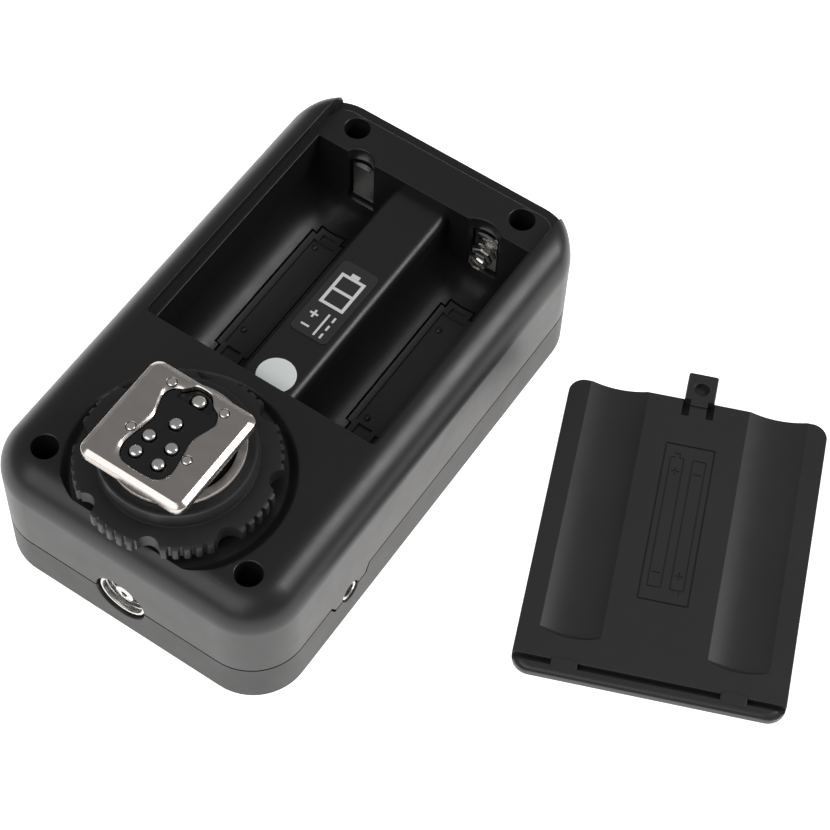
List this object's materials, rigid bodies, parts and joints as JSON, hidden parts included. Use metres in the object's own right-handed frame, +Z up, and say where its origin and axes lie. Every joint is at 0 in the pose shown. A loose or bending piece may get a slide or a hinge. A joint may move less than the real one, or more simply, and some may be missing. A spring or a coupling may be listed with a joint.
{
  "type": "wireless flash trigger",
  "caption": "Radio flash trigger lying face down: hot-shoe foot with locking wheel, open battery bay for two cells, sync sockets, and its battery cover lying loose beside it.",
  "frame": {"origin": "middle of the front face, the flat face that the trigger rests on", "axes": "+X across the body towards the 2.5 mm jack and the loose cover, +Y along the body towards the battery end, +Z up, out of the rear face"},
  "size_m": [0.1179, 0.0922, 0.0391],
  "materials": {
    "case_plastic": "soft-touch black, fine grain",
    "cover_plastic": "satin black",
    "wheel_plastic": "satin black",
    "inner_plastic": "matte black",
    "control_plastic": "matte dark grey",
    "label_film": "satin dark grey film",
    "sticker_paper": "matte white",
    "lens_plastic": "tinted, clear gloss",
    "shoe_steel": "satin, polished edges",
    "contact_chrome": "polished",
    "screw_steel": "bright zinc",
    "contact_brass": "polished",
    "board_laminate": "solder mask",
    "chip_epoxy": "matte black",
    "can_metal": "satin",
    "capacitor_sleeve": "shrink sleeve"
  },
  "bodies": {
    "case": {"rear_case": "case_plastic", "front_case": "case_plastic", "foot_block": "inner_plastic", "foot_plate": "shoe_steel", "plate_rivet_1": "shoe_steel", "plate_rivet_2": "shoe_steel", "plate_rivet_3": "shoe_steel", "plate_rivet_4": "shoe_steel", "cell_pad_left": "inner_plastic", "cell_pad_right": "inner_plastic", "spine_label": "label_film", "seal_sticker": "sticker_paper", "far_contact_left": "contact_chrome", "far_contact_right": "contact_chrome", "far_spring": "contact_chrome", "near_bridge": "contact_chrome", "near_spring": "contact_chrome", "case_screw_1": "screw_steel", "case_screw_2": "screw_steel", "case_screw_3": "screw_steel", "case_screw_4": "screw_steel", "pc_socket_ring": "contact_chrome", "pc_socket_insulator": "inner_plastic", "pc_socket_pin": "contact_chrome", "jack_body": "inner_plastic", "jack_sleeve": "contact_chrome", "shoe_frame": "shoe_steel", "shoe_contact_block": "inner_plastic", "shoe_contact_1": "contact_brass", "shoe_contact_2": "contact_brass", "shoe_contact_3": "contact_brass", "shoe_contact_4": "contact_brass", "shoe_contact_5": "contact_brass", "channel_switch": "chip_epoxy", "group_switch": "chip_epoxy", "status_lens": "lens_plastic", "power_switch": "can_metal", "main_board": "board_laminate", "rf_board": "board_laminate", "rf_shield": "can_metal", "antenna": "contact_brass", "control_chip": "chip_epoxy", "crystal": "can_metal", "capacitor": "capacitor_sleeve"},
    "ring": {"pressure_ring": "shoe_steel"},
    "wheel": {"locking_wheel": "wheel_plastic"},
    "lock_pin": {"locking_pin": "shoe_steel"},
    "contact_1": {"contact_pin_1": "contact_chrome"},
    "contact_2": {"contact_pin_2": "contact_chrome"},
    "contact_3": {"contact_pin_3": "contact_chrome"},
    "contact_4": {"contact_pin_4": "contact_chrome"},
    "contact_5": {"contact_pin_5": "contact_chrome"},
    "channel_key": {"channel_button": "control_plastic"},
    "group_key": {"group_button": "control_plastic"},
    "power_slider": {"power_knob": "control_plastic"},
    "cover": {"battery_cover": "cover_plastic"}
  },
  "joints": [
    {"name": "ring_lift", "type": "slide", "parent": "case", "child": "ring", "axis": [0, 0, 1], "range_m": [0, 0.0006]},
    {"name": "wheel_turn", "type": "hinge", "parent": "ring", "child": "wheel", "pos_m": [0, -0.0291, 0.0295], "axis": [0, 0, 1], "range_deg": [0, 180]},
    {"name": "lock_pin_rise", "type": "slide", "parent": "case", "child": "lock_pin", "axis": [0, 0, 1], "range_m": [0, 0.0016]},
    {"name": "contact_1_press", "type": "slide", "parent": "case", "child": "contact_1", "axis": [0, 0, 1], "range_m": [-0.0007, 0], "stiffness_N_per_m": 150, "springref_m": 0.0002},
    {"name": "contact_2_press", "type": "slide", "parent": "case", "child": "contact_2", "axis": [0, 0, 1], "range_m": [-0.0007, 0], "stiffness_N_per_m": 150, "springref_m": 0.0002},
    {"name": "contact_3_press", "type": "slide", "parent": "case", "child": "contact_3", "axis": [0, 0, 1], "range_m": [-0.0007, 0], "stiffness_N_per_m": 150, "springref_m": 0.0002},
    {"name": "contact_4_press", "type": "slide", "parent": "case", "child": "contact_4", "axis": [0, 0, 1], "range_m": [-0.0007, 0], "stiffness_N_per_m": 150, "springref_m": 0.0002},
    {"name": "contact_5_press", "type": "slide", "parent": "case", "child": "contact_5", "axis": [0, 0, 1], "range_m": [-0.0007, 0], "stiffness_N_per_m": 150, "springref_m": 0.0002},
    {"name": "channel_press", "type": "slide", "parent": "case", "child": "channel_key", "axis": [0, 0, 1], "range_m": [0, 0.0005], "stiffness_N_per_m": 400, "springref_m": -0.0002},
    {"name": "group_press", "type": "slide", "parent": "case", "child": "group_key", "axis": [0, 0, 1], "range_m": [0, 0.0005], "stiffness_N_per_m": 400, "springref_m": -0.0002},
    {"name": "power_slide", "type": "slide", "parent": "case", "child": "power_slider", "axis": [0, 1, 0], "range_m": [0, 0.003]},
    {"name": "cover_lift", "type": "slide", "parent": "case", "child": "cover", "axis": [0, 0, 1], "range_m": [0, 0.06]}
  ],
  "couplings": [
    {"joint": "wheel_turn", "follows": "ring_lift", "rad_per_m": 5235},
    {"joint": "lock_pin_rise", "follows": "ring_lift", "ratio": 2.66}
  ]
}
